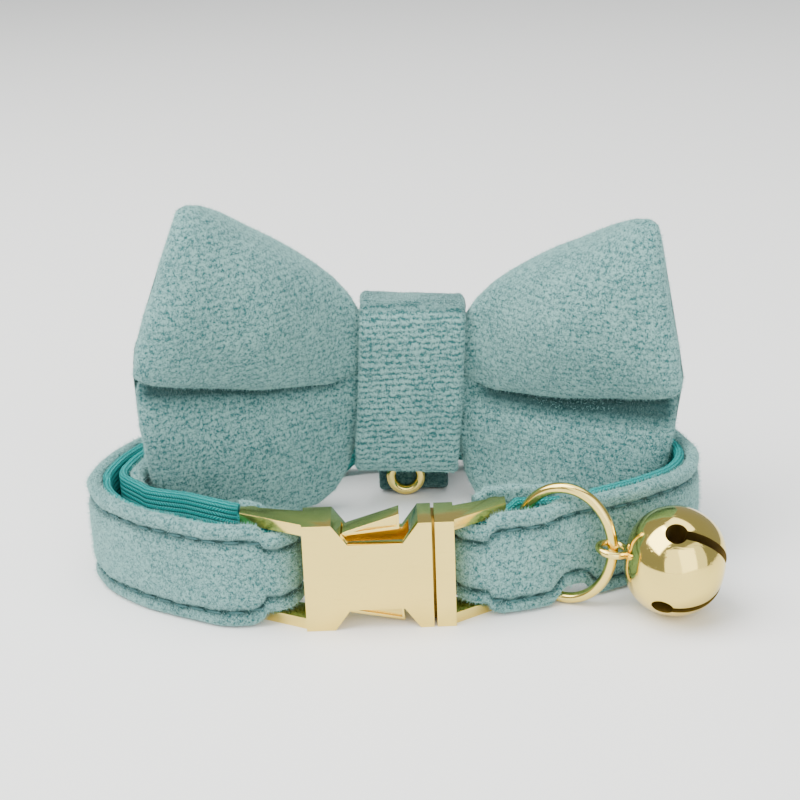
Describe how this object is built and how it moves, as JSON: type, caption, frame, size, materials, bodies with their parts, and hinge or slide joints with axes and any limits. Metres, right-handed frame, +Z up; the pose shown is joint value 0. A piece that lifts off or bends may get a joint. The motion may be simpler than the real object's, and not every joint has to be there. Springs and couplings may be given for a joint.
{
  "type": "pet collar",
  "caption": "Small pet collar as a closed loop: velvet strap lined with webbing, side-release buckle, ring with a jingle bell, and a padded velvet bow.",
  "frame": {"origin": "middle of the footprint, on the surface that the collar's lower edge rests on", "axes": "+Z up, +X from the buckle's socket half towards its plug half, +Y from the buckle to the bow"},
  "size_m": [0.0882, 0.0646, 0.0523],
  "materials": {
    "velvet": "short-pile velvet",
    "bow_velvet": "short-pile velvet",
    "webbing": "braided, matt",
    "metal": "polished, pale gold"
  },
  "bodies": {
    "collar": {"strap_velvet": "velvet", "strap_webbing": "webbing", "buckle_socket": "metal", "buckle_plug": "metal", "d_ring": "metal", "bell": "metal", "bell_pea": "metal", "bow_body": "bow_velvet", "bow_knot": "bow_velvet", "bow_band": "bow_velvet", "ring_snap": "metal"},
    "lever_upper": {"lever_upper": "metal"},
    "lever_lower": {"lever_lower": "metal"}
  },
  "joints": [
    {"name": "lever_upper_press", "type": "hinge", "parent": "collar", "child": "lever_upper", "pos_m": [-0.00839, -0.02334, 0.012], "axis": [0, 1, 0], "range_deg": [0, 16], "stiffness_Nm_per_rad": 0.05},
    {"name": "lever_lower_press", "type": "hinge", "parent": "collar", "child": "lever_lower", "pos_m": [-0.00839, -0.02334, 0.0034], "axis": [0, -1, 0], "range_deg": [0, 10], "stiffness_Nm_per_rad": 0.05}
  ]
}
